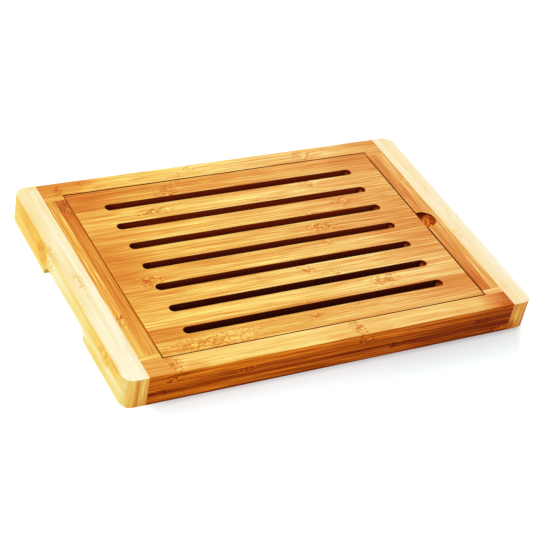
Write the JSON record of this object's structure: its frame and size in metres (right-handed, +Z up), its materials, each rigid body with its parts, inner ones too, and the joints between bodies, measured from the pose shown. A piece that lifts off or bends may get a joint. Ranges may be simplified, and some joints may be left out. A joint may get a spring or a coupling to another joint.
{
  "type": "bread board",
  "caption": "Rectangular glued bamboo bread board with pale end caps, a lift-out slatted insert over a crumb tray, a finger scoop and hand grips under both ends.",
  "frame": {"origin": "middle of the underside, on the surface that the board rests on", "axes": "+X along the board's length, towards the end with the finger scoop; +Y from the front edge to the back edge; +Z up"},
  "size_m": [0.4, 0.267, 0.03],
  "materials": {
    "cap_bamboo": "pale natural bamboo, sanded and oiled",
    "rail_bamboo": "caramel bamboo in flat layers, sanded and oiled",
    "stile_bamboo": "caramel bamboo in strips on edge, sanded and oiled",
    "insert_bamboo": "caramel and honey bamboo staves, sanded and oiled",
    "tray_bamboo": "dark caramel bamboo panel, sanded and oiled",
    "dowel_wood": "plain turned wood, unfinished"
  },
  "bodies": {
    "frame": {"end_cap_left_outer_strip": "cap_bamboo", "end_cap_left_inner_strip": "cap_bamboo", "end_cap_right_outer_strip": "cap_bamboo", "end_cap_right_inner_strip": "cap_bamboo", "front_rail_base_layer": "rail_bamboo", "front_rail_lower_layer": "rail_bamboo", "front_rail_core_layer": "rail_bamboo", "front_rail_upper_layer": "rail_bamboo", "front_rail_top_layer": "rail_bamboo", "front_rail_ledge_strip": "rail_bamboo", "back_rail_base_layer": "rail_bamboo", "back_rail_lower_layer": "rail_bamboo", "back_rail_core_layer": "rail_bamboo", "back_rail_upper_layer": "rail_bamboo", "back_rail_top_layer": "rail_bamboo", "back_rail_ledge_strip": "rail_bamboo", "left_stile_outer_strip": "stile_bamboo", "left_stile_inner_strip": "stile_bamboo", "left_stile_ledge_strip": "stile_bamboo", "right_stile_outer_strip": "stile_bamboo", "right_stile_inner_strip": "stile_bamboo", "right_stile_ledge_strip": "stile_bamboo", "crumb_tray_floor": "tray_bamboo", "dowel_front_left": "dowel_wood", "dowel_front_right": "dowel_wood", "dowel_back_left": "dowel_wood", "dowel_back_right": "dowel_wood"},
    "insert": {"insert_stave_01": "insert_bamboo", "insert_stave_02": "insert_bamboo", "insert_stave_03": "insert_bamboo", "insert_stave_04": "insert_bamboo", "insert_stave_05": "insert_bamboo", "insert_stave_06": "insert_bamboo", "insert_stave_07": "insert_bamboo", "insert_stave_08": "insert_bamboo", "insert_stave_09": "insert_bamboo", "insert_stave_10": "insert_bamboo", "insert_stave_11": "insert_bamboo", "insert_stave_12": "insert_bamboo", "insert_stave_13": "insert_bamboo", "insert_stave_14": "insert_bamboo"}
  },
  "joints": [
    {"name": "insert_lift", "type": "slide", "parent": "frame", "child": "insert", "axis": [0, 0, 1], "range_m": [0, 0.04]}
  ]
}
